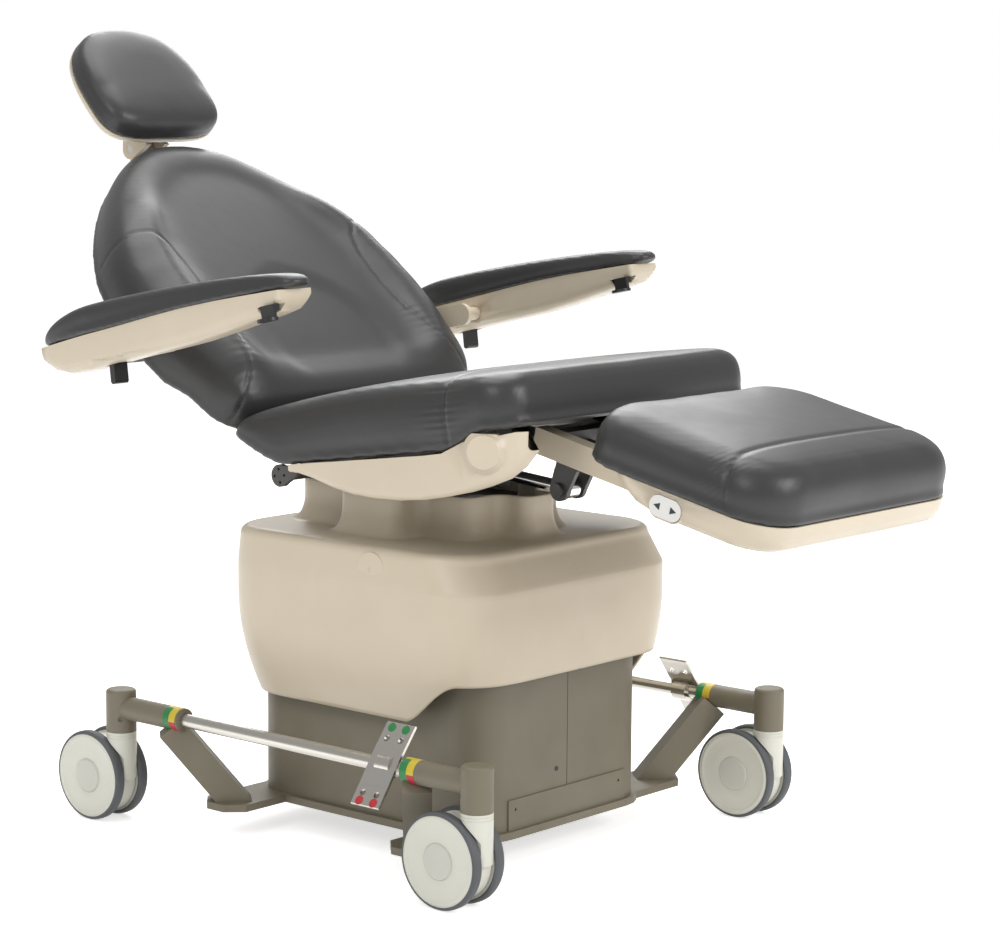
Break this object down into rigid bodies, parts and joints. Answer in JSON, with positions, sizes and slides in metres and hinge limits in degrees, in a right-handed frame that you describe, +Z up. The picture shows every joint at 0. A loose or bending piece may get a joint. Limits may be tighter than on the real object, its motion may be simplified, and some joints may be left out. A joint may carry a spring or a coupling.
{
  "type": "powered procedure chair",
  "caption": "Powered medical procedure chair on locking casters, with a lifting seat, reclining back, swinging arm rests, adjustable head rest and an extending leg rest.",
  "frame": {"origin": "middle of the chair's bounding box, on the floor", "axes": "+X toward the patient's left hand side, +Y toward the head end, +Z up"},
  "size_m": [0.795, 1.3948, 1.0949],
  "materials": {
    "taupe_paint": "satin powder coat",
    "cream_plastic": "satin moulded plastic",
    "cream_paint": "satin powder coat",
    "upholstery": "smooth vinyl upholstery, soft sheen",
    "caster_plastic": "satin moulded plastic",
    "wheel_plastic": "satin disc with a grey tyre",
    "steel_bright": "drawn stainless steel",
    "chrome_rod": "polished",
    "steel_dark": "dark enamel",
    "black_plastic": "moulded",
    "white_plastic": "moulded"
  },
  "bodies": {
    "base": {"base_plate": "taupe_paint", "outriggers": "taupe_paint", "base_skirt": "taupe_paint", "kick_panel": "taupe_paint", "power_inlet": "black_plastic", "column_outer": "steel_dark", "lift_drive": "steel_dark"},
    "shroud": {"shroud_mid": "taupe_paint"},
    "carriage": {"column_inner": "steel_dark", "tilt_yoke": "steel_dark", "cover_right": "cream_plastic", "cover_left": "cream_plastic", "cover_plugs": "cream_plastic"},
    "caster_front_right": {"caster_front_right": "caster_plastic"},
    "wheel_front_right_outer": {"wheel_front_right_outer": "wheel_plastic"},
    "wheel_front_right_inner": {"wheel_front_right_inner": "wheel_plastic"},
    "caster_front_left": {"caster_front_left": "caster_plastic"},
    "wheel_front_left_outer": {"wheel_front_left_outer": "wheel_plastic"},
    "wheel_front_left_inner": {"wheel_front_left_inner": "wheel_plastic"},
    "caster_rear_right": {"caster_rear_right": "caster_plastic"},
    "wheel_rear_right_outer": {"wheel_rear_right_outer": "wheel_plastic"},
    "wheel_rear_right_inner": {"wheel_rear_right_inner": "wheel_plastic"},
    "caster_rear_left": {"caster_rear_left": "caster_plastic"},
    "wheel_rear_left_outer": {"wheel_rear_left_outer": "wheel_plastic"},
    "wheel_rear_left_inner": {"wheel_rear_left_inner": "wheel_plastic"},
    "brake_right": {"brake_rod_right": "steel_bright", "brake_pedal_right": "steel_bright"},
    "brake_left": {"brake_rod_left": "steel_bright", "brake_pedal_left": "steel_bright"},
    "seat": {"seat_frame": "steel_dark", "seat_pan": "steel_dark", "seat_cushion": "upholstery", "seat_side_right": "cream_plastic", "seat_side_left": "cream_plastic", "seat_caps": "cream_plastic"},
    "back": {"back_frame": "steel_dark", "back_shell": "cream_plastic", "back_cushion": "upholstery", "arm_mounts": "cream_paint"},
    "arm_right": {"arm_shell_right": "cream_plastic", "arm_pad_right": "upholstery"},
    "knob_right": {"arm_knob_right": "black_plastic"},
    "latch_right": {"arm_latch_right": "black_plastic"},
    "arm_left": {"arm_shell_left": "cream_plastic", "arm_pad_left": "upholstery"},
    "knob_left": {"arm_knob_left": "black_plastic"},
    "latch_left": {"arm_latch_left": "black_plastic"},
    "head_slide": {"head_bar": "steel_bright"},
    "head": {"head_bracket": "cream_paint", "head_shell": "cream_plastic", "head_cushion": "upholstery"},
    "leg": {"leg_beams": "cream_paint", "leg_bracket": "steel_dark"},
    "foot": {"foot_slide": "steel_dark", "foot_shell": "cream_plastic", "foot_cushion": "upholstery"},
    "switch": {"foot_switch": "white_plastic"},
    "leg_drive": {"leg_drive": "steel_dark"},
    "leg_drive_rod": {"leg_drive_rod": "chrome_rod"}
  },
  "joints": [
    {"name": "lift", "type": "slide", "parent": "base", "child": "carriage", "axis": [0, 0, 1], "range_m": [-0.05, 0.23]},
    {"name": "shroud_slide", "type": "slide", "parent": "base", "child": "shroud", "axis": [0, 0, 1], "range_m": [-0.025, 0.115]},
    {"name": "swivel_front_right", "type": "hinge", "parent": "base", "child": "caster_front_right", "pos_m": [-0.309, -0.331, 0.1], "axis": [0, 0, 1], "continuous": true},
    {"name": "roll_front_right_outer", "type": "hinge", "parent": "caster_front_right", "child": "wheel_front_right_outer", "pos_m": [-0.309, -0.2913, 0.0625], "axis": [1, 0, 0], "continuous": true},
    {"name": "roll_front_right_inner", "type": "hinge", "parent": "caster_front_right", "child": "wheel_front_right_inner", "pos_m": [-0.309, -0.2913, 0.0625], "axis": [1, 0, 0], "continuous": true},
    {"name": "swivel_front_left", "type": "hinge", "parent": "base", "child": "caster_front_left", "pos_m": [0.309, -0.331, 0.1], "axis": [0, 0, 1], "continuous": true},
    {"name": "roll_front_left_outer", "type": "hinge", "parent": "caster_front_left", "child": "wheel_front_left_outer", "pos_m": [0.309, -0.2913, 0.0625], "axis": [1, 0, 0], "continuous": true},
    {"name": "roll_front_left_inner", "type": "hinge", "parent": "caster_front_left", "child": "wheel_front_left_inner", "pos_m": [0.309, -0.2913, 0.0625], "axis": [1, 0, 0], "continuous": true},
    {"name": "swivel_rear_right", "type": "hinge", "parent": "base", "child": "caster_rear_right", "pos_m": [-0.309, 0.325, 0.1], "axis": [0, 0, 1], "continuous": true},
    {"name": "roll_rear_right_outer", "type": "hinge", "parent": "caster_rear_right", "child": "wheel_rear_right_outer", "pos_m": [-0.309, 0.3647, 0.0625], "axis": [1, 0, 0], "continuous": true},
    {"name": "roll_rear_right_inner", "type": "hinge", "parent": "caster_rear_right", "child": "wheel_rear_right_inner", "pos_m": [-0.309, 0.3647, 0.0625], "axis": [1, 0, 0], "continuous": true},
    {"name": "swivel_rear_left", "type": "hinge", "parent": "base", "child": "caster_rear_left", "pos_m": [0.309, 0.325, 0.1], "axis": [0, 0, 1], "continuous": true},
    {"name": "roll_rear_left_outer", "type": "hinge", "parent": "caster_rear_left", "child": "wheel_rear_left_outer", "pos_m": [0.309, 0.3647, 0.0625], "axis": [1, 0, 0], "continuous": true},
    {"name": "roll_rear_left_inner", "type": "hinge", "parent": "caster_rear_left", "child": "wheel_rear_left_inner", "pos_m": [0.309, 0.3647, 0.0625], "axis": [1, 0, 0], "continuous": true},
    {"name": "brake_right", "type": "hinge", "parent": "base", "child": "brake_right", "pos_m": [-0.309, -0.003, 0.162], "axis": [0, 1, 0], "range_deg": [-20, 20]},
    {"name": "brake_left", "type": "hinge", "parent": "base", "child": "brake_left", "pos_m": [0.309, -0.003, 0.162], "axis": [0, 1, 0], "range_deg": [-20, 20]},
    {"name": "tilt", "type": "hinge", "parent": "carriage", "child": "seat", "pos_m": [0, 0.137, 0.47], "axis": [-1, 0, 0], "range_deg": [0, 20]},
    {"name": "back_recline", "type": "hinge", "parent": "seat", "child": "back", "pos_m": [0, 0.12221, 0.52483], "axis": [1, 0, 0], "range_deg": [-40, 31]},
    {"name": "arm_swing_right", "type": "hinge", "parent": "back", "child": "arm_right", "pos_m": [-0.355, 0.235, 0.676], "axis": [-1, 0, 0], "range_deg": [-40, 125]},
    {"name": "knob_right", "type": "slide", "parent": "arm_right", "child": "knob_right", "axis": [0, 0.9748, -0.2233], "range_m": [0, 0.01], "stiffness_N_per_m": 300},
    {"name": "latch_right", "type": "hinge", "parent": "arm_right", "child": "latch_right", "pos_m": [-0.355, 0.27273, 0.65351], "axis": [1, 0, 0], "range_deg": [0, 25], "stiffness_Nm_per_rad": 0.3},
    {"name": "arm_swing_left", "type": "hinge", "parent": "back", "child": "arm_left", "pos_m": [0.355, 0.235, 0.676], "axis": [-1, 0, 0], "range_deg": [-40, 125]},
    {"name": "knob_left", "type": "slide", "parent": "arm_left", "child": "knob_left", "axis": [0, 0.9748, -0.2233], "range_m": [0, 0.01], "stiffness_N_per_m": 300},
    {"name": "latch_left", "type": "hinge", "parent": "arm_left", "child": "latch_left", "pos_m": [0.355, 0.27273, 0.65351], "axis": [1, 0, 0], "range_deg": [0, 25], "stiffness_Nm_per_rad": 0.3},
    {"name": "head_slide", "type": "slide", "parent": "back", "child": "head_slide", "axis": [0, 0.766, 0.6428], "range_m": [0, 0.11]},
    {"name": "head_tilt", "type": "hinge", "parent": "head_slide", "child": "head", "pos_m": [0, 0.617, 0.918], "axis": [1, 0, 0], "range_deg": [-35, 5]},
    {"name": "leg_raise", "type": "hinge", "parent": "seat", "child": "leg", "pos_m": [0, -0.20301, 0.56002], "axis": [-1, 0, 0], "range_deg": [-50, 12]},
    {"name": "foot_extend", "type": "slide", "parent": "leg", "child": "foot", "axis": [0, -0.9774, -0.2113], "range_m": [-0.04, 0.13]},
    {"name": "foot_rocker", "type": "hinge", "parent": "foot", "child": "switch", "pos_m": [-0.2025, -0.53993, 0.5189], "axis": [0, -0.2113, 0.9774], "range_deg": [-4, 4], "stiffness_Nm_per_rad": 0.5},
    {"name": "leg_drive_swing", "type": "hinge", "parent": "seat", "child": "leg_drive", "pos_m": [0, 0.039, 0.51065], "axis": [-1, 0, 0], "range_deg": [-0.6, 2.5]},
    {"name": "leg_drive_stroke", "type": "slide", "parent": "leg_drive", "child": "leg_drive_rod", "axis": [0, -0.9965, -0.0838], "range_m": [-0.0605, 0.0146]}
  ],
  "couplings": [
    {"joint": "shroud_slide", "follows": "lift", "ratio": 0.5},
    {"joint": "leg_drive_swing", "follows": "leg_raise", "ratio": -0.05},
    {"joint": "leg_drive_stroke", "follows": "leg_raise", "m_per_rad": 0.069}
  ]
}
